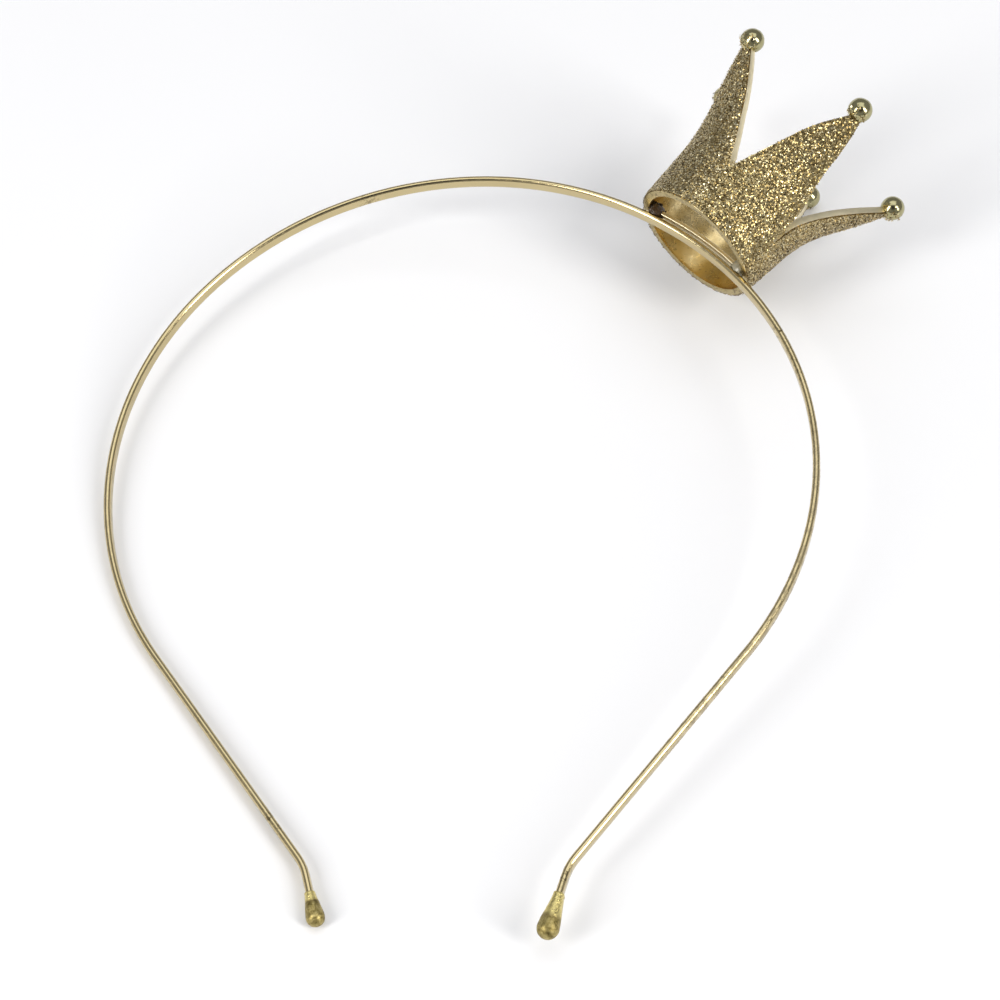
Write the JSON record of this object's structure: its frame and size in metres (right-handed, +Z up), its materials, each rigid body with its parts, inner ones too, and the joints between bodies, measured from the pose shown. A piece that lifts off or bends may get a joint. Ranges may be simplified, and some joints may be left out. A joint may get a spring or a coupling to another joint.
{
  "type": "mini crown headband",
  "caption": "Thin metal headband loop with teardrop end caps and a small flared, glitter-coated crown with ball-tipped points, set to one side of the top.",
  "frame": {"origin": "on the surface it lies on, under the middle of the whole's box", "axes": "+Z up from the surface; the loop's top points to +Y and its two ends to -Y, so the crown stands out towards +X and +Y"},
  "size_m": [0.1422, 0.1718, 0.0432],
  "materials": {
    "band_metal": "pale gold plating, polished, with small tarnish spots",
    "cap_metal": "rough worn amber gold",
    "crown_metal": "polished pale gold plating",
    "glitter": "coarse gold glitter",
    "dark_glue": "glossy dark brown glue",
    "pale_glue": "glossy, half clear greenish glue"
  },
  "bodies": {
    "root": {"band": "band_metal", "left_end_cap": "cap_metal", "right_end_cap": "cap_metal", "crown": "crown_metal", "glitter_coat": "glitter", "left_glue": "dark_glue", "right_glue": "pale_glue"}
  },
  "joints": []
}
